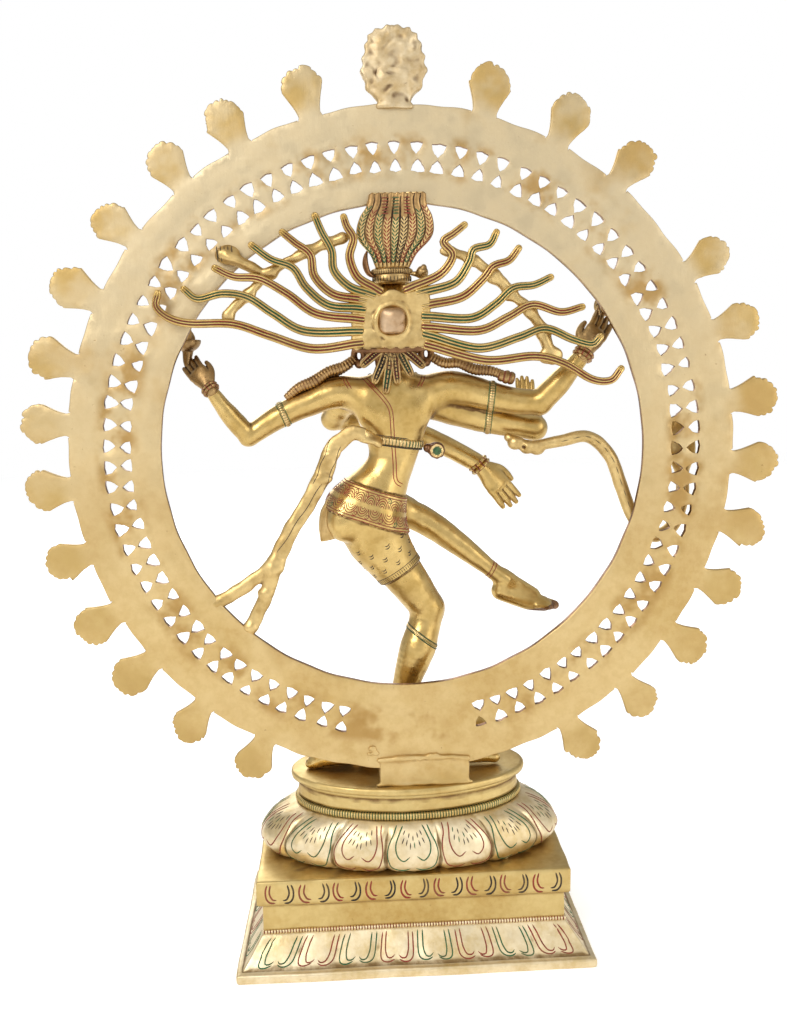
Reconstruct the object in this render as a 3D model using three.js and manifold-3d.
// A brass dancing figure with four arms, standing on a dwarf inside a ring of flames, on a lotus base.
// Millimetres, +Z up. The figure faces -Y, so its own right side is -X and its back is +Y.
// The origin is the middle of the underside of the base.
//
// Every casting is one closed solid. Where two castings meet, the later one is cut back by a copy of
// the earlier one that has been grown by GAP, so they lie face to face without touching.

import * as THREE from "three";
import { mergeVertices } from "three/addons/utils/BufferGeometryUtils.js";
import Module from "manifold-3d";

const wasm = await Module();
wasm.setup();

// ------------------------------------------------------------------ driving dimensions

const GAP = 0.3;

// Plinth: half sizes along X and Y, and the heights where one moulding gives way to the next.
const FOOT = { x: 109.3, y: 65, rimTop: 6, top: 24 };
const DADO = { x: 92.7, y: 48.5, top: 42.4 };
const CORNICE = { x: 96.2, y: 52, top: 58.7 };
const PLINTH_WALL = 5;
const PLINTH_DECK = 6;

// Lotus, collar and the oval platform that the figure and the ring stand on.
const LOTUS = { x: 95, y: 51.5, shoulderX: 74.5, shoulderY: 42.3, top: 89, petals: 14 };
const COLLAR = { x: 73.5, y: 42, inX: 66.5, inY: 35.5, top: 93.7 };
const OVAL_SIDES = 32;
const PLATFORM = { x: 75.5, y: 43, neckX: 71.5, neckY: 40, deck: 8, top: 110 };

// Flame ring: a flat pierced plate that stands at the back of the platform.
const RING = { x: -2, z: 315.7, outer: 195, inner: 141.6, back: 37, thick: 5 };
const RING_FRONT = RING.back - RING.thick;
const HOLE_ROWS = [
  { radius: 172.3, size: 3.5, apex: -1 },
  { radius: 161.6, size: 3.5, apex: 1 },
];
const HOLES_PER_ROW = 87;
const PLAIN_ARC = 24;
const RING_FOOT = { left: -37, right: 19, front: 26, back: 37.8, top: 127 };

// Degrees from the top of the ring to each small flame. The casting has one fewer on the figure's right.
const FLAMES_LEFT = [14, 26.5, 38, 50, 62, 73.5, 83.5, 94.5, 106, 117.5, 128, 140, 152.5];
const FLAMES_RIGHT = [15, 28, 40, 59.5, 70.5, 83, 93.5, 104, 115, 126, 138, 150.5];
const FLAME_REACH = 28;

// Hair: a plate riveted to a boss on the back of the head, with waving locks on both sides of it.
const HAIR_PLATE = { left: -16, right: 22, bottom: 375, top: 408, front: 40, back: 45.5 };
const LOCK = { y: 44.5, halfWide: 2.8, halfDeep: 2.4 };
const RIVET = { x: 3, z: 391, shank: 3, head: 8 };
const HOOP = { y: 39.7, radius: 2.2 };

// Fixings under the platform: threaded rods and hexagon nuts.
const SMALL_ROD = { radius: 2, nut: 4.04, nutHeight: 3.2 };
const TIE_ROD = { radius: 3, nut: 5.77, nutHeight: 5 };
const HALO_STUDS = { right: [-24, 29], left: [8, 29] };
const FIGURE_STUDS = { right: [-22, -6], left: [20, -6] };

// ------------------------------------------------------------------ materials

const brass = (color, roughness = 0.42) =>
  new THREE.MeshStandardMaterial({ color, roughness, metalness: 0.9 });
const figureBrass = brass(0xc79a45, 0.32);
const ringBrass = brass(0xd9c08a, 0.55);
const baseBrass = brass(0xcfab62, 0.45);
const chasedBrass = brass(0xb58a45, 0.5);
const steel = new THREE.MeshStandardMaterial({ color: 0x8d8f92, roughness: 0.5, metalness: 0.9 });

// ------------------------------------------------------------------ meshes to solids and back

function signedVolume(position, index) {
  const a = new THREE.Vector3();
  const b = new THREE.Vector3();
  const c = new THREE.Vector3();
  let sum = 0;
  for (let i = 0; i < index.length; i += 3) {
    a.fromBufferAttribute(position, index[i]);
    b.fromBufferAttribute(position, index[i + 1]);
    c.fromBufferAttribute(position, index[i + 2]);
    sum += a.dot(b.cross(c)) / 6;
  }
  return sum;
}

// A closed three.js mesh as a solid: shared vertices merged, collapsed triangles dropped, faces outwards.
function solid(geometry) {
  const bare = geometry.clone();
  bare.deleteAttribute("normal");
  bare.deleteAttribute("uv");
  const merged = mergeVertices(bare, 1e-4);
  const position = merged.attributes.position;
  const index = merged.index.array;
  const kept = [];
  for (let i = 0; i < index.length; i += 3) {
    const [a, b, c] = [index[i], index[i + 1], index[i + 2]];
    if (a !== b && b !== c && c !== a) kept.push(a, b, c);
  }
  if (signedVolume(position, kept) < 0) {
    for (let i = 0; i < kept.length; i += 3) {
      [kept[i + 1], kept[i + 2]] = [kept[i + 2], kept[i + 1]];
    }
  }
  return new wasm.Manifold(
    new wasm.Mesh({
      numProp: 3,
      vertProperties: new Float32Array(position.array),
      triVerts: new Uint32Array(kept),
    })
  );
}

function geometryOf(body) {
  const { vertProperties, triVerts } = body.getMesh();
  const geometry = new THREE.BufferGeometry();
  geometry.setAttribute("position", new THREE.BufferAttribute(vertProperties, 3));
  geometry.setIndex(new THREE.BufferAttribute(triVerts, 1));
  geometry.computeVertexNormals();
  return geometry;
}

const join = (...bodies) => bodies.reduce((sum, body) => sum.add(body));

// Cuts the tools out of a body and keeps the largest piece of what is left.
function carve(body, ...tools) {
  const cut = tools.reduce((rest, tool) => rest.subtract(tool), body);
  const pieces = cut.decompose();
  return pieces.sort((a, b) => b.volume() - a.volume())[0];
}

// ------------------------------------------------------------------ shape helpers

// A stack of ovals (or of rectangles, with four sides), one for each level {x, y, z, cx, cy}.
// A level without x is a point on the axis, and a stack that starts and ends on one level is a hollow frame.
function stack(levels, sides, grow = 0, ripple = () => 0) {
  const profile = levels.map((level, k) => new THREE.Vector2(level.x === undefined ? 0 : 1, k));
  const start = sides === 4 ? Math.PI / 4 : 0;
  const geometry = new THREE.LatheGeometry(profile, sides, start, 2 * Math.PI);
  const position = geometry.attributes.position;
  for (let i = 0; i < position.count; i += 1) {
    const k = Math.round(position.getY(i));
    const { x = 0, y = 0, z, cx = 0, cy = 0, rise = 0 } = levels[k];
    const angle = Math.atan2(position.getZ(i), position.getX(i));
    const onAxis = levels[k].x === undefined;
    const u = onAxis ? 0 : sides === 4 ? Math.sign(position.getX(i)) : Math.cos(angle);
    const v = onAxis ? 0 : sides === 4 ? Math.sign(position.getZ(i)) : Math.sin(angle);
    const swell = onAxis ? 0 : grow + ripple(angle, k);
    position.setXYZ(i, cx + u * (x + swell), cy + v * (y + swell), z + Math.sign(rise) * grow);
  }
  return solid(geometry);
}

function block([x0, x1], [y0, y1], [z0, z1]) {
  const geometry = new THREE.BoxGeometry(x1 - x0, y1 - y0, z1 - z0);
  geometry.translate((x0 + x1) / 2, (y0 + y1) / 2, (z0 + z1) / 2);
  return solid(geometry);
}

// A round bar from z0 to z1, or along Y from y0 to y1.
function rodZ(x, y, radius, z0, z1, sides = 20) {
  const geometry = new THREE.CylinderGeometry(radius, radius, z1 - z0, sides);
  geometry.rotateX(Math.PI / 2);
  geometry.translate(x, y, (z0 + z1) / 2);
  return solid(geometry);
}

function rodY(x, z, radius, y0, y1, sides = 20) {
  const geometry = new THREE.CylinderGeometry(radius, radius, y1 - y0, sides);
  geometry.translate(x, (y0 + y1) / 2, z);
  return solid(geometry);
}

function ball([x, y, z], [rx, ry, rz], grow = 0, sides = 12) {
  const geometry = new THREE.SphereGeometry(1, sides, Math.round(sides * 0.7));
  geometry.rotateX(Math.PI / 2);
  geometry.scale(rx + grow, ry + grow, rz + grow);
  geometry.translate(x, y, z);
  return solid(geometry);
}

// A flat outline drawn in X and Z, given thickness between y0 and y1.
function slab(shape, y0, y1, curveSegments = 12) {
  const geometry = new THREE.ExtrudeGeometry(shape, { depth: y1 - y0, bevelEnabled: false, curveSegments });
  geometry.rotateX(Math.PI / 2);
  geometry.translate(0, y1, 0);
  return solid(geometry);
}

function outlineOf(points) {
  return new THREE.Shape(points.map(([x, z]) => new THREE.Vector2(x, z)));
}

// A bar along a smooth curve. Each point has a half width and a half depth (or one radius for both),
// and the depth is measured as near to the direction `deep` as the curve allows. Both ends are rounded.
function limb(points, radii, { grow = 0, sides = 8, steps = 1, deep = [0, 1, 0] } = {}) {
  const curve = new THREE.CatmullRomCurve3(points.map((p) => new THREE.Vector3(...p)), false, "centripetal");
  const spans = (points.length - 1) * steps;
  const sizeAt = (t) => {
    const s = t * (points.length - 1);
    const k = Math.min(points.length - 2, Math.floor(s));
    const [a, b] = [radii[k], radii[k + 1]].map((r) => (Array.isArray(r) ? r : [r, r]));
    return [0, 1].map((n) => grow + a[n] + (b[n] - a[n]) * (s - k));
  };
  const stations = [];
  for (let i = 0; i <= spans; i += 1) {
    const t = i / spans;
    stations.push({ at: curve.getPoint(t), along: curve.getTangent(t), size: sizeAt(t), scale: 1 });
  }
  const [first, last] = [stations[0], stations[spans]];
  const capped = [];
  for (const [reach, scale] of [[0.85, 0], [0.6, 0.66]]) {
    const depth = Math.min(...first.size) * reach;
    capped.push({ ...first, at: first.at.clone().addScaledVector(first.along, -depth), scale });
  }
  capped.push(...stations);
  for (const [reach, scale] of [[0.6, 0.66], [0.85, 0]]) {
    const depth = Math.min(...last.size) * reach;
    capped.push({ ...last, at: last.at.clone().addScaledVector(last.along, depth), scale });
  }
  const profile = capped.map((station, k) => new THREE.Vector2(station.scale === 0 ? 0 : 1, k));
  const geometry = new THREE.LatheGeometry(profile, sides);
  const position = geometry.attributes.position;
  const towards = new THREE.Vector3(...deep);
  for (let i = 0; i < position.count; i += 1) {
    const { at, along, size, scale } = capped[Math.round(position.getY(i))];
    const depth = towards.clone().addScaledVector(along, -towards.dot(along)).normalize();
    const width = new THREE.Vector3().crossVectors(along, depth);
    const spot = at.clone();
    spot.addScaledVector(width, position.getX(i) * size[0] * scale);
    spot.addScaledVector(depth, position.getZ(i) * size[1] * scale);
    position.setXYZ(i, spot.x, spot.y, spot.z);
  }
  return solid(geometry);
}

// ------------------------------------------------------------------ base

function plinthFoot() {
  const inner = { x: DADO.x - PLINTH_WALL - 1, y: DADO.y - PLINTH_WALL - 1 };
  return stack(
    [
      { ...inner, z: 0 },
      { x: FOOT.x, y: FOOT.y, z: 0 },
      { x: FOOT.x, y: FOOT.y, z: FOOT.rimTop },
      { x: FOOT.x - 4.4, y: FOOT.y - 4.4, z: FOOT.rimTop + 1.6 },
      { x: DADO.x + 6.5, y: DADO.y + 6.5, z: 14.5 },
      { x: DADO.x + 0.8, y: DADO.y + 0.8, z: FOOT.top },
      { ...inner, z: FOOT.top },
      { ...inner, z: 0 },
    ],
    4
  );
}

function plinthBody() {
  const inner = { x: DADO.x - PLINTH_WALL, y: DADO.y - PLINTH_WALL };
  const shell = stack(
    [
      { z: CORNICE.top - PLINTH_DECK },
      { ...inner, z: CORNICE.top - PLINTH_DECK },
      { ...inner, z: FOOT.top + GAP },
      { x: DADO.x, y: DADO.y, z: FOOT.top + GAP },
      { x: DADO.x, y: DADO.y, z: DADO.top },
      { x: CORNICE.x, y: CORNICE.y, z: DADO.top + 0.6 },
      { x: CORNICE.x, y: CORNICE.y, z: CORNICE.top - 0.8 },
      { x: CORNICE.x - 0.8, y: CORNICE.y - 0.8, z: CORNICE.top },
      { z: CORNICE.top },
    ],
    4
  );
  return shell.subtract(rodZ(0, 0, TIE_ROD.radius + 2 * GAP, DADO.top, CORNICE.top + 1));
}

function lotusCushion() {
  const bottom = CORNICE.top + GAP;
  const levels = [
    { x: 77, y: 41, z: bottom },
    { x: 84, y: 46.5, z: bottom },
    { x: 91.5, y: 49.8, z: 62.5 },
    { x: LOTUS.x, y: LOTUS.y, z: 68 },
    { x: 92.5, y: 50.5, z: 75 },
    { x: 84.5, y: 47, z: 83.5 },
    { x: LOTUS.shoulderX + 2, y: LOTUS.shoulderY + 1, z: LOTUS.top - 0.8 },
    { x: LOTUS.shoulderX, y: LOTUS.shoulderY, z: LOTUS.top },
    { x: 62, y: 31, z: LOTUS.top },
    { x: 62, y: 31, z: 84 },
    { x: 82, y: 41, z: 72 },
    { x: 82, y: 41, z: 65 },
    { x: 77, y: 41, z: bottom },
  ];
  const swell = [0, 0, 1.4, 1.6, 1.4, 0.8];
  const ripple = (angle, k) => -(swell[k] ?? 0) * (1 - Math.abs(Math.cos((angle * LOTUS.petals) / 2)));
  return stack(levels, LOTUS.petals * 2, 0, ripple);
}

function beadCollar() {
  const inner = { x: COLLAR.inX, y: COLLAR.inY };
  const bottom = LOTUS.top + GAP;
  return stack(
    [
      { ...inner, z: bottom },
      { x: COLLAR.x - 1, y: COLLAR.y - 1, z: bottom },
      { x: COLLAR.x, y: COLLAR.y, z: bottom + 2.2 },
      { x: COLLAR.x - 1, y: COLLAR.y - 1, z: COLLAR.top },
      { ...inner, z: COLLAR.top },
      { ...inner, z: bottom },
    ],
    OVAL_SIDES
  );
}

function ovalPlatform() {
  const bottom = COLLAR.top + GAP;
  const inner = { x: PLATFORM.neckX - 3.5, y: PLATFORM.neckY - 3.5 };
  const body = stack(
    [
      { z: PLATFORM.top - PLATFORM.deck },
      { ...inner, z: PLATFORM.top - PLATFORM.deck },
      { ...inner, z: bottom },
      { x: PLATFORM.neckX, y: PLATFORM.neckY, z: bottom },
      { x: PLATFORM.neckX, y: PLATFORM.neckY, z: 104.2 },
      { x: PLATFORM.x - 1, y: PLATFORM.y - 1, z: 105 },
      { x: PLATFORM.x, y: PLATFORM.y, z: 107.5 },
      { x: PLATFORM.x - 0.8, y: PLATFORM.y - 0.8, z: PLATFORM.top },
      { z: PLATFORM.top },
    ],
    OVAL_SIDES
  );
  const through = [HALO_STUDS.left, HALO_STUDS.right, FIGURE_STUDS.left, FIGURE_STUDS.right].map(([x, y]) =>
    rodZ(x, y, SMALL_ROD.radius + GAP, 98, PLATFORM.top + 2, 12)
  );
  const blind = rodZ(0, 0, TIE_ROD.radius + GAP, 98, PLATFORM.top - 2.5);
  return carve(body, blind, ...through);
}

// A threaded rod, drawn plain, and a nut that turns on it.
const STUD = { bottom: 96.5, top: 119.5, holeTop: 119.8 };
const smallRod = ([x, y]) => rodZ(x, y, SMALL_ROD.radius, STUD.bottom, STUD.top, 12);
const TIE_ROD_BOTTOM = 36;

function nut(x, y, size, top) {
  const body = rodZ(x, y, size.nut, top - size.nutHeight, top, 6);
  return body.subtract(rodZ(x, y, size.radius + GAP, top - 10, top + 10, 12));
}

const underDeck = PLATFORM.top - PLATFORM.deck - GAP;
const bridgeTop = CORNICE.top - PLINTH_DECK - GAP;
const bridgeBar = () =>
  block([-58, 58], [-9, 9], [bridgeTop - 6, bridgeTop]).subtract(rodZ(0, 0, TIE_ROD.radius + GAP, 40, 60));

// ------------------------------------------------------------------ flame ring

// Position on the ring at `angle` degrees from its top, positive towards the figure's left.
function onRing(angle, radius) {
  const a = THREE.MathUtils.degToRad(angle);
  return new THREE.Vector2(RING.x + radius * Math.sin(a), RING.z + radius * Math.cos(a));
}

// One flame as [sideways, outwards] from the rim, for its right half; the left half mirrors it.
const FLAME_HALF = [
  [6.2, -1],
  [5.6, 8],
  [10.8, 15],
  [10.6, 21],
  [7, 25.4],
];

function flameOutline(angle, rim) {
  const rising = FLAME_HALF.map(([side, out]) => [-side, out]);
  const falling = [...FLAME_HALF].reverse();
  const a = THREE.MathUtils.degToRad(angle);
  const across = new THREE.Vector2(Math.cos(a), -Math.sin(a));
  const outwards = new THREE.Vector2(Math.sin(a), Math.cos(a));
  return [...rising, [0, FLAME_REACH], ...falling].map(([side, out]) => {
    const base = onRing(angle, rim);
    return base.addScaledVector(across, side).addScaledVector(outwards, out);
  });
}

function haloOutline() {
  const angles = [...FLAMES_LEFT, ...FLAMES_RIGHT.map((angle) => 360 - angle)].sort((a, b) => a - b);
  const points = [];
  angles.forEach((angle, k) => {
    points.push(...flameOutline(angle, RING.outer));
    const next = k + 1 < angles.length ? angles[k + 1] : angles[0] + 360;
    const clear = 3.2;
    const spans = Math.max(2, Math.round((next - angle) / 4));
    for (let i = 0; i <= spans; i += 1) {
      points.push(onRing(angle + clear + ((next - angle - 2 * clear) * i) / spans, RING.outer));
    }
  });
  // Anticlockwise, so that an extrusion turns its holes the other way.
  return points.reverse();
}

function trianglePath(angle, { radius, size, apex }) {
  const centre = onRing(angle, radius);
  const turn = THREE.MathUtils.degToRad(angle);
  const points = [0, 1, 2].map((corner) => {
    const a = turn + (corner * 2 * Math.PI) / 3 + (apex > 0 ? 0 : Math.PI);
    return new THREE.Vector2(centre.x + size * Math.sin(a), centre.y + size * Math.cos(a));
  });
  return new THREE.Path(points);
}

function haloRing() {
  const shape = new THREE.Shape(haloOutline());
  const inside = [];
  for (let angle = 0; angle < 360; angle += 4) inside.push(onRing(angle, RING.inner));
  shape.holes.push(new THREE.Path(inside));
  const pitch = (360 - PLAIN_ARC) / HOLES_PER_ROW;
  for (const row of HOLE_ROWS) {
    for (let i = 0; i < HOLES_PER_ROW; i += 1) {
      shape.holes.push(trianglePath(180 + PLAIN_ARC / 2 + pitch * (i + 0.5), row));
    }
  }
  const plate = slab(shape, RING_FRONT, RING.back);
  const { left, right, front, back, top } = RING_FOOT;
  const foot = block([left, right], [front, back], [PLATFORM.top + GAP, top]);
  const holes = [HALO_STUDS.left, HALO_STUDS.right].map(([x, y]) =>
    rodZ(x, y, SMALL_ROD.radius + GAP, 100, STUD.holeTop, 12)
  );
  return carve(join(plate, foot), ...holes);
}

function crestFlame() {
  const rim = RING.z + RING.outer;
  const half = [
    [10.5, -3],
    [8.6, 4],
    [10, 9],
    [17, 12],
    [18.8, 21],
    [16.6, 29],
    [12.5, 31.5],
    [12, 38],
    [6, 38.5],
  ];
  const right = half.map(([side, up]) => [RING.x + side, rim + up]);
  const left = half.map(([side, up]) => [RING.x - side, rim + up]).reverse();
  const outline = outlineOf([...right, [RING.x, rim + 42.5], ...left]);
  const ringSpace = rodY(RING.x, RING.z, RING.outer + GAP, 20, 50, 360);
  return carve(slab(outline, RING_FRONT - 1, RING.back + 1.5), ringSpace);
}

// ------------------------------------------------------------------ figure

const BODY_Y = 13;

function torso(grow = 0) {
  const levels = [
    { z: 262, rise: -1 },
    { x: 12, y: 10, z: 263, cx: 21, rise: -1 },
    { x: 21, y: 15, z: 269, cx: 21.5 },
    { x: 22.8, y: 16.5, z: 280, cx: 21 },
    { x: 22.6, y: 16, z: 290, cx: 19 },
    { x: 19.5, y: 13.5, z: 299, cx: 12.5 },
    { x: 15, y: 11, z: 308, cx: 4 },
    { x: 15.6, y: 11, z: 314, cx: 3 },
    { x: 19, y: 12, z: 324, cx: 3 },
    { x: 23.5, y: 13.2, z: 337, cx: 3 },
    { x: 27, y: 13, z: 350, cx: 2.5 },
    { x: 25, y: 11, z: 357.5, cx: 2, rise: 1 },
    { x: 13, y: 8, z: 362.5, cx: 2, rise: 1 },
    { z: 363, rise: 1 },
  ];
  const placed = levels.map((level) => ({ cy: BODY_Y, cx: level.x === undefined ? 2 : 0, ...level }));
  placed[0].cx = 21;
  return stack(placed, 16, grow);
}

// The head: an egg with a neck, ears, a straight nose and a boss behind that carries the hair plate.
function head(grow = 0) {
  const skull = stack(
    [
      { z: 367, cx: 2.5, rise: -1 },
      { x: 7, y: 8, z: 368, cx: 2.5, rise: -1 },
      { x: 11.5, y: 13, z: 374 },
      { x: 14.5, y: 16, z: 382 },
      { x: 15.6, y: 17.3, z: 392 },
      { x: 15, y: 17, z: 402 },
      { x: 12, y: 13.5, z: 410 },
      { x: 7, y: 8, z: 414.5, rise: 1 },
      { z: 415.5, rise: 1 },
    ].map((level) => ({ cx: 2.5, cy: 18, ...level })),
    16,
    grow
  );
  const neck = limb([[2.3, 14, 356], [2.5, 17, 374]], [8.5, 8.5], { grow });
  const nose = limb([[2.5, 1.5, 391], [2.5, -0.5, 384]], [1.2, 2], { grow, sides: 6, deep: [1, 0, 0] });
  const ears = [-1, 1].map((side) => {
    const path = [[2.5 + side * 15.4, 19, 392], [2.5 + side * 14.6, 18, 380]];
    return limb(path, [[1.6, 3], [1.4, 2]], { grow, sides: 6 });
  });
  const boss = rodY(RIVET.x, RIVET.z, RIVET.head - 0.5 + grow, 28, HAIR_PLATE.front - GAP + grow, 16);
  return join(skull, neck, nose, ...ears, boss);
}

function standingLeg(grow = 0) {
  const thigh = limb(
    [[19, 12, 276], [15, 11, 262], [6.5, 8, 247], [-8, 2, 226], [-17, -1, 211]],
    [[19, 15], [18, 15], 14.4, 11.8, 9.6],
    { grow, sides: 10 }
  );
  const shin = limb(
    [[-16.5, -1, 213], [-14, 2, 201], [-9, 5, 187], [-3.5, 6, 172], [1.5, 6, 160]],
    [9.6, 10, 10.8, 9.2, 7.2],
    { grow, sides: 10 }
  );
  const foot = limb(
    [[2, 7, 156], [-7, -2, 154.5], [-17, -11, 153], [-23, -18, 152]],
    [[6, 6], [6.5, 5], [7, 4], [6, 2.6]],
    { grow, deep: [0, 0, 1] }
  );
  return join(thigh, shin, foot);
}

function raisedLeg(grow = 0) {
  const thigh = limb(
    [[31, 8, 280], [24, -8, 283], [10, -22, 279], [-4, -31, 272]],
    [[14, 14], 13, 11.6, 9.4],
    { grow, sides: 10, deep: [0, 0, 1] }
  );
  const shin = limb(
    [[-3, -31, 272], [-21, -30, 262], [-41, -27, 247], [-60, -24, 231.5]],
    [9.2, 9, 7.8, 5.2],
    { grow, sides: 10 }
  );
  const foot = limb(
    [[-58, -24, 233], [-71, -24, 222.5], [-87, -24, 214], [-101, -24, 208.5]],
    [[5.4, 5.4], [7.6, 6], [7.4, 6], [5, 5.5]],
    { grow }
  );
  return join(thigh, shin, foot);
}

function rearLeftArm(grow = 0) {
  const upper = limb(
    [[24, 14, 352], [36, 15, 352], [53, 17, 346], [70, 19, 339], [90, 22, 326.5]],
    [10.5, 9.4, 8.2, 7, 5.8],
    { grow }
  );
  const forePath = [[89, 22, 326], [98, 24, 337], [105, 26, 347], [111, 27, 356]];
  const palmPath = [[111, 27, 356], [116, 26, 362], [121, 24, 367]];
  const fingerPath = [[118, 24, 366], [119, 22, 374], [122, 20, 380]];
  const fore = limb(forePath, [5.9, 5.8, 4.8, 3.4], { grow });
  const palm = limb(palmPath, [3.6, [6, 3.4], [6.5, 3.4]], { grow });
  const fingers = limb(fingerPath, [[4, 2.6], [3.4, 2.4], [2.4, 2]], { grow });
  return join(upper, fore, palm, fingers);
}

function rearRightArm(grow = 0) {
  const upper = limb(
    [[-20, 14, 351], [-32, 15, 352], [-45, 17, 349], [-58, 18, 345.5], [-72, 20, 342.5], [-85, 22, 341.5]],
    [11, 10.4, 9.6, 8.8, 8, 7.6],
    { grow }
  );
  const forePath = [[-84, 22, 341], [-94, 24, 351], [-103, 25, 361], [-111, 26, 370]];
  const palmPath = [[-110, 26, 369], [-115, 26, 376], [-119, 25, 383]];
  const fingerPath = [[-117, 25, 381], [-121, 23, 388], [-125, 21, 392]];
  const fore = limb(forePath, [7.6, 7.2, 6, 4.6], { grow });
  const palm = limb(palmPath, [4.6, [6, 3.6], [6.4, 3.6]], { grow });
  const fingers = limb(fingerPath, [[4, 2.6], [3.2, 2.4], [2.4, 2]], { grow });
  return join(upper, fore, palm, fingers);
}

function frontRightArm(grow = 0) {
  const upperPath = [[-24, 8, 344], [-40, 7, 337], [-58, 7, 331], [-84, 7, 325.5]];
  const forePath = [[-84, 7, 325.5], [-85, -8, 328], [-84, -22, 332]];
  const palmPath = [[-84, -22, 331], [-84, -24, 341], [-84, -26, 354]];
  const upper = limb(upperPath, [10, 9, 8, 7.2], { grow });
  const fore = limb(forePath, [7.2, 6.6, 4.6], { grow, deep: [1, 0, 0] });
  const palm = limb(palmPath, [[4.6, 4], [6.4, 3], [5, 2]], { grow });
  return join(upper, fore, palm);
}

function frontLeftArm(grow = 0) {
  const upperPath = [[24, 8, 349], [33, 1, 344], [40, -10, 334]];
  const handPath = [[-50, -29, 303], [-60, -28, 294], [-69, -28, 282], [-76, -28, 270]];
  const upper = limb(upperPath, [9.4, 8.6, 7.2], { grow, deep: [0, 0, 1] });
  const fore = limb(
    [[40, -11, 334], [20, -22, 331], [-3, -29, 327], [-25, -30, 318], [-52, -29, 302]],
    [7.2, 7, 7, 7, 5.6],
    { grow, deep: [0, 0, 1] }
  );
  const hand = limb(handPath, [5.8, [8, 4.6], [8.4, 3.8], [6, 2.8]], { grow });
  return join(upper, fore, hand);
}

// A dwarf lying face down along the platform, under the standing foot.
function dwarf(grow = 0) {
  const trunk = limb(
    [[30, -5, 125], [14, -5, 131], [-4, -5, 134], [-24, -5, 132.5]],
    [[12, 12], [14, 14], [15, 15.5], [13, 14]],
    { grow, sides: 10 }
  );
  const skull = ball([-45, -5, 131], [11, 11.5, 11], grow, 12);
  const neck = limb([[-26, -5, 131], [-44, -5, 131]], [8, 7], { grow });
  const thighs = [-14, 3].map((y) => limb([[26, y, 121], [58, y, 116]], [8, 4.6], { grow, sides: 6 }));
  const arms = [-20, 8].map((y) => {
    const path = [[-20, y, 122], [-34, y, 116.5], [-50, y * 0.9, 115.5]];
    return limb(path, [6, 4.8, 4], { grow, sides: 6 });
  });
  const underBelly = block([-33 - grow, 31 + grow], [-15 - grow, 5 + grow], [100, 124 + grow]);
  return join(trunk, skull, neck, underBelly, ...thighs, ...arms);
}

// ------------------------------------------------------------------ dress and ornaments

// The part of `body` between two planes: heights at x = 0 with a slope of z against x.
function between(body, low, high, slope) {
  const wedge = (z0, z1) => {
    const points = [-160, 160].map((x) => [x, z0 + slope * x]);
    const upper = [160, -160].map((x) => [x, z1 + slope * x]);
    return slab(outlineOf([...points, ...upper]), -90, 90);
  };
  return body.intersect(wedge(low, high));
}

// Edges of the dress: heights at x = 0, and how much each edge climbs with x.
const BELT = { thick: 2, low: 318.2, high: 323, slope: 0.17 };
const WRAP = { thick: 2.2, low: 265.5, high: 287.5, slope: 0.35 };
const DRAPE = { thick: 2, low: 238.8, high: 330, slope: -0.65 };

const beltBand = (grow) => between(torso(BELT.thick + grow), BELT.low - grow, BELT.high + grow, BELT.slope);
const waistBelt = () => carve(beltBand(0), torso(GAP));
const hipWrapAt = (grow) => between(torso(WRAP.thick + grow), WRAP.low - grow, WRAP.high + grow, WRAP.slope);
const beltKnot = () => ball([-22, 17, 314.5], [5.2, 6.5, 5.2]);

function thighDrape() {
  const skirt = between(standingLeg(DRAPE.thick), DRAPE.low, DRAPE.high, DRAPE.slope);
  return carve(skirt, standingLeg(GAP), torso(GAP), hipWrapAt(GAP), raisedLeg(GAP));
}

const wrapTail = () => limb([[43, 16, 284], [44, 17, 274], [43, 18, 264.5]], [[5, 3], [6, 3], [6.5, 2.6]]);

function sash() {
  const strap = limb(
    [[16, 30, 322], [29, 29, 327], [40, 30, 318], [46, 31, 304], [57, 32, 285], [69, 33, 267], [76, 34, 250]],
    [[4.4, 2.2], [4.6, 2.2], [5, 2.4], [5.4, 2.4], [5, 2.2], [5, 2.2], [5, 2.2]],
  );
  const ends = [
    [[75, 33.5, 252], [91, 34.2, 241], [106, 34.5, 232], [118, 34.5, 225]],
    [[76, 33.5, 252], [81, 34.2, 237], [88, 34.5, 222], [97, 34.5, 206]],
  ].map((points) => limb(points, [4.4, 4, 4, 4].map((r) => [r, 2.2])));
  return join(strap, ...ends).intersect(rodY(RING.x, RING.z, RING.inner - GAP, 0, 60, 180));
}

const SNAKE_PATH = [
  [-68, 19, 323],
  [-80, 21, 316],
  [-97, 22, 318],
  [-114, 22, 320],
  [-127, 22, 308],
  [-134, 23, 289],
  [-141, 25, 270],
  [-152, 26.5, 259],
  [-164, 26.5, 264],
  [-170, 26.5, 281],
  [-170, 26, 300],
];

function snake() {
  const tail = limb(SNAKE_PATH, [2.6, 3, 3.4, 3.7, 3.9, 4, 4, 4, 4, 4, 4]);
  const hood = limb(
    [[-170, 25.5, 296], [-170, 25, 308], [-169, 24, 318], [-168, 21, 327]],
    [[4, 3.6], [8.5, 3], [9, 3], [4.6, 3.4]]
  );
  return join(tail, hood);
}

function handDrum() {
  const body = stack(
    [{ z: -8 }, { x: 6, y: 6, z: -8 }, { x: 3.2, y: 3.2, z: 0 }, { x: 6, y: 6, z: 8 }, { z: 8 }],
    14
  );
  return body.rotate([90, 0, 0]).translate([-127, 16, 398]);
}

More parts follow.
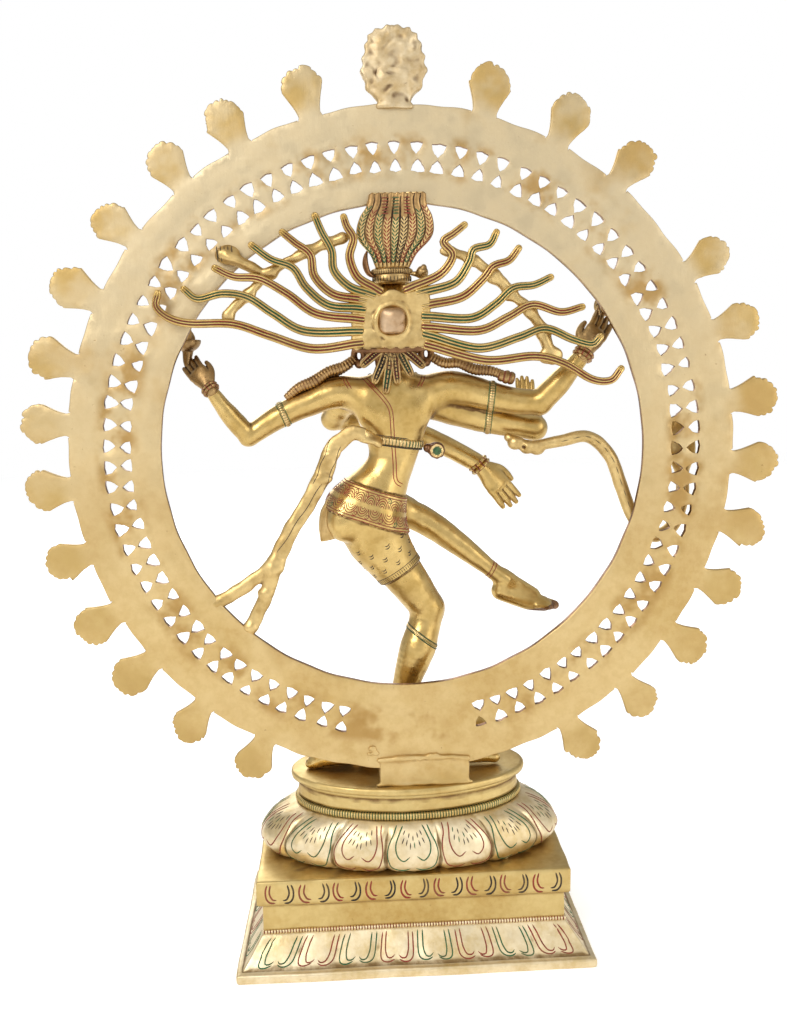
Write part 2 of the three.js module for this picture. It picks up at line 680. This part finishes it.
function fireBowl() {
  const cup = stack(
    [
      { z: 0 },
      { x: 4, y: 4, z: 0 },
      { x: 7.5, y: 7.5, z: 5 },
      { x: 7.8, y: 7.8, z: 7 },
      { x: 6, y: 6, z: 7 },
      { z: 4 },
    ],
    14
  ).translate([124, 14, 378]);
  const flamePath = [[124, 14, 381], [124, 14, 390], [124, 14, 397]];
  const flame = limb(flamePath, [[4.4, 2.4], [4, 2.2], [1, 0.8]], { sides: 6 });
  return join(cup, flame);
}

const braid = (points) => limb(points, [3.2, 3.4, 3]);

// ------------------------------------------------------------------ hair and crown

function feather(grow = 0) {
  const half = [
    [10, 422],
    [13.5, 429],
    [20, 436],
    [22, 441.5],
    [20.5, 449],
    [17, 455],
    [16, 461.5],
  ];
  const left = half.map(([side, z]) => [-side, z]).reverse();
  const plate = slab(outlineOf([...half, ...left]), -3 - grow, 3 + grow);
  // The plate leans back as it rises, so that its top lies on the back face of the ring.
  return plate.warp((point) => {
    point[1] += THREE.MathUtils.mapLinear(THREE.MathUtils.clamp(point[2], 422, 455), 422, 455, 33, 40.4);
    point[0] += 1.5 - (point[2] - 422) * 0.09;
  });
}

const crownBand = () =>
  stack(
    [
      { z: 414.5 },
      { x: 9, y: 7.5, z: 414.5 },
      { x: 11.5, y: 9, z: 417 },
      { x: 11, y: 8.5, z: 421.7 },
      { z: 421.7 },
    ].map((level) => ({ cx: 2, cy: 29, ...level })),
    20
  );

const crescent = () =>
  limb([[13.6, 32, 418], [17, 33, 423], [16.4, 33, 431]], [[1.6, 1.4], [2, 1.4], [0.8, 0.8]], { sides: 6 });
const flowerBud = () =>
  limb([[-10.5, 31, 419], [-14.5, 32, 417], [-16.5, 32, 419]], [1.6, 3.4, 4.2], { sides: 10 });

function napeLocks() {
  const ends = [[19, 367.5], [13, 358.5], [7.5, 353], [0.5, 358.5], [-6.5, 362], [-13, 366.5]];
  const locks = ends.map(([x, z], k) => {
    const path = [[2.5 + (2.5 - k) * 2, 31, 377], [(x + 3) / 2, 29.5, (z + 375) / 2], [x, 28.5, z]];
    return limb(path, [2.3, 2.6, 2.5], { sides: 5 });
  });
  return join(...locks);
}

// Locks of hair as [x, z] points, from the plate out to the curled tip, from the top lock down.
const LOCKS_LEFT = [
  [[13, 410], [22, 416], [26, 427], [23.5, 437], [27, 444], [28.5, 449]],
  [[17, 407], [27, 411], [35, 420], [36, 431], [41, 441], [44.5, 450]],
  [[22, 404], [36, 407], [46, 417], [48, 429], [56, 435.5], [63, 441.5]],
  [[23, 399], [39, 401], [51, 411], [58, 422], [70, 427], [80.5, 435]],
  [[24, 393], [46, 396.5], [62, 408], [77, 416.5], [91, 418], [101.5, 423]],
  [[25, 386], [53, 387], [70, 397], [84, 406.5], [98, 409], [112, 406.5], [119.5, 412]],
  [[25, 379], [49, 377], [73, 385], [93, 392], [117, 393], [129, 396.5], [135.5, 403], [134, 410]],
];
const LOCKS_RIGHT = [
  [[-9, 410], [-25, 416.5], [-32, 426.5], [-27, 434], [-33, 438.5], [-39, 443]],
  [[-16, 407], [-33, 411.5], [-41, 422], [-44, 429.5], [-53, 432], [-57, 438.5]],
  [[-19, 400], [-37, 403.5], [-49, 413], [-55, 420], [-64, 423], [-69.5, 429.5]],
  [[-19, 393], [-42, 391.5], [-56, 399], [-66, 407.5], [-78, 409], [-87.5, 413]],
  [[-19, 387], [-46, 384.5], [-63, 391.5], [-77, 398], [-93, 393.5], [-105.5, 396]],
  [[-19, 382], [-46, 374.5], [-69, 380], [-84, 384.5], [-100, 378], [-111, 375], [-116, 379]],
  [[-20, 376], [-50, 367.5], [-78, 369], [-95, 364.5], [-111, 355], [-122, 354], [-128, 360.5]],
];

function hairFan(locks, spine) {
  const bars = locks.map((path) => {
    const points = path.map(([x, z]) => [x, LOCK.y, z]);
    const sizes = path.map((_, k) => {
      const taper = 1 - (0.25 * k) / (path.length - 1);
      return [LOCK.halfWide * taper, LOCK.halfDeep * taper];
    });
    return limb(points, sizes, { sides: 4 });
  });
  const ribPath = spine.map(([x, z]) => [x, LOCK.y, z]);
  const rib = limb(ribPath, spine.map(() => [3.4, LOCK.halfDeep]), { sides: 6 });
  const { left, right, bottom, top } = HAIR_PLATE;
  const plate = block([left - GAP, right + GAP], [30, 60], [bottom - GAP, top + GAP]);
  return carve(join(rib, ...bars), plate);
}

function hairPlate() {
  const { left, right, bottom, top, front, back } = HAIR_PLATE;
  return block([left, right], [front, back], [bottom, top]).subtract(
    rodY(RIVET.x, RIVET.z, RIVET.shank + GAP, front - 5, back + 5)
  );
}

function hairRivet() {
  const shank = rodY(RIVET.x, RIVET.z, RIVET.shank, 27, HAIR_PLATE.back + 1);
  const dome = stack(
    [
      { z: 0 },
      { x: 8, y: 8, z: 0 },
      { x: 8, y: 8, z: 2.2 },
      { x: 6.4, y: 6.4, z: 4.2 },
      { x: 3.4, y: 3.4, z: 5.4 },
      { z: 5.8 },
    ],
    16
  );
  const placed = dome.rotate([-90, 0, 0]).translate([RIVET.x, HAIR_PLATE.back + GAP, RIVET.z]);
  return join(shank, placed);
}

function hoop(points) {
  const path = points.map(([x, z]) => [x, HOOP.y, z]);
  return limb(path, path.map(() => HOOP.radius), { sides: 6 });
}

function hairHoopLeft() {
  const rod = hoop([[97, 394], [93, 400], [83, 410], [70, 422], [52, 430], [34, 437]]);
  const stub = hoop([[74, 419], [84, 425], [96, 429.5]]);
  return join(rod, stub);
}

const hairHoopRight = () =>
  hoop([[-30, 429], [-46, 424], [-58, 414], [-70, 403], [-79, 391], [-86, 380], [-88, 366]]);

// ------------------------------------------------------------------ assembly

const statue = new THREE.Group();

function place(name, body, material) {
  const mesh = new THREE.Mesh(geometryOf(body), material);
  mesh.name = name;
  statue.add(mesh);
}

place("plinth_foot", plinthFoot(), baseBrass);
place("plinth_body", plinthBody(), baseBrass);
place("lotus_cushion", lotusCushion(), baseBrass);
place("bead_collar", beadCollar(), baseBrass);
place("oval_platform", ovalPlatform(), baseBrass);
place("base_bridge_bar", bridgeBar(), steel);
place("base_tie_rod", rodZ(0, 0, TIE_ROD.radius, TIE_ROD_BOTTOM, PLATFORM.top - 3), steel);
place("base_tie_nut", nut(0, 0, TIE_ROD, bridgeTop - 6 - GAP), steel);

for (const side of ["left", "right"]) {
  place(`halo_stud_${side}`, smallRod(HALO_STUDS[side]), steel);
  place(`halo_nut_${side}`, nut(...HALO_STUDS[side], SMALL_ROD, underDeck), steel);
  place(`figure_stud_${side}`, smallRod(FIGURE_STUDS[side]), steel);
  place(`figure_nut_${side}`, nut(...FIGURE_STUDS[side], SMALL_ROD, underDeck), steel);
}

place("halo_ring", haloRing(), ringBrass);
place("crest_flame", crestFlame(), ringBrass);

const deckTop = block([-90, 90], [-60, 60], [90, PLATFORM.top + GAP]);
const figureHoles = [FIGURE_STUDS.left, FIGURE_STUDS.right].map(([x, y]) =>
  rodZ(x, y, SMALL_ROD.radius + GAP, 100, STUD.holeTop, 12)
);
const trunk = torso();
const trunkCut = torso(GAP);
const headCut = head(GAP);
const legCut = standingLeg(GAP);
const raisedCut = raisedLeg(GAP);
const wrapCut = hipWrapAt(GAP);

place("torso", trunk, figureBrass);
place(
  "head",
  carve(head(), trunkCut, rodY(RIVET.x, RIVET.z, RIVET.shank + GAP, 26.5, 60)),
  figureBrass
);
place("standing_leg", carve(standingLeg(), trunkCut), figureBrass);
place("raised_leg", carve(raisedLeg(), trunkCut, legCut), figureBrass);
place("dwarf", carve(dwarf(), deckTop, legCut, ...figureHoles), figureBrass);

place("rear_left_arm", carve(rearLeftArm(), trunkCut, headCut), figureBrass);
place("rear_right_arm", carve(rearRightArm(), trunkCut, headCut), figureBrass);
place("front_left_arm", carve(frontLeftArm(), trunkCut, rearLeftArm(GAP), raisedCut), figureBrass);
place("front_right_arm", carve(frontRightArm(), trunkCut, rearRightArm(GAP)), figureBrass);

place("hip_wrap", carve(hipWrapAt(0), trunkCut, legCut, raisedCut), chasedBrass);
place("thigh_drape", thighDrape(), figureBrass);
place("waist_belt", waistBelt(), chasedBrass);
const beltCut = beltBand(GAP);
place("belt_knot", carve(beltKnot(), trunkCut, beltCut), chasedBrass);
place("wrap_tail", carve(wrapTail(), trunkCut, wrapCut, raisedCut), chasedBrass);
place("sash", carve(sash(), trunkCut, beltCut), figureBrass);
place("snake", carve(snake(), frontRightArm(GAP), rearRightArm(GAP)), figureBrass);
place("hand_drum", carve(handDrum(), rearRightArm(GAP)), chasedBrass);
place("fire_bowl", carve(fireBowl(), rearLeftArm(GAP)), chasedBrass);

place("hair_plate", hairPlate(), chasedBrass);
place("hair_rivet", hairRivet(), figureBrass);
const SPINE_LEFT = [[11, 411.5], [21, 411], [25.5, 406], [26, 392], [26, 379]];
const SPINE_RIGHT = [[-6, 411.5], [-15, 411], [-19.5, 406], [-20, 392], [-20, 376]];
place("hair_fan_left", hairFan(LOCKS_LEFT, SPINE_LEFT), figureBrass);
place("hair_fan_right", hairFan(LOCKS_RIGHT, SPINE_RIGHT), figureBrass);
place("hair_hoop_left", hairHoopLeft(), figureBrass);
place("hair_hoop_right", hairHoopRight(), figureBrass);
place("crown_band", carve(crownBand(), headCut), chasedBrass);
place("feather_crown", feather(), chasedBrass);
const bandCut = ball([2, 29, 418], [12, 9.4, 6], 0, 16);
place("crescent_ornament", carve(crescent(), bandCut, feather(GAP)), chasedBrass);
place("flower_ornament", carve(flowerBud(), bandCut, feather(GAP)), chasedBrass);
place("nape_locks", carve(napeLocks(), trunkCut, headCut), chasedBrass);

const earring = (side) =>
  limb([[2.5 + side * 20, 17, 378], [2.5 + side * 21, 17, 370]], [[2.2, 3], [3.4, 3.4]]);
place("earring_left", carve(earring(1), headCut), chasedBrass);
place("earring_right", carve(earring(-1), headCut), chasedBrass);
const braidLeft = braid([[29, 17, 367], [46, 18, 361], [66, 20, 350]]);
const braidRight = braid([[-24, 17, 368], [-44, 18, 364], [-66, 20, 358]]);
place("shoulder_braid_left", carve(braidLeft, headCut, trunkCut, rearLeftArm(GAP), earring(1)), chasedBrass);
place(
  "shoulder_braid_right",
  carve(braidRight, headCut, trunkCut, rearRightArm(GAP), earring(-1)),
  chasedBrass
);

export default statue;
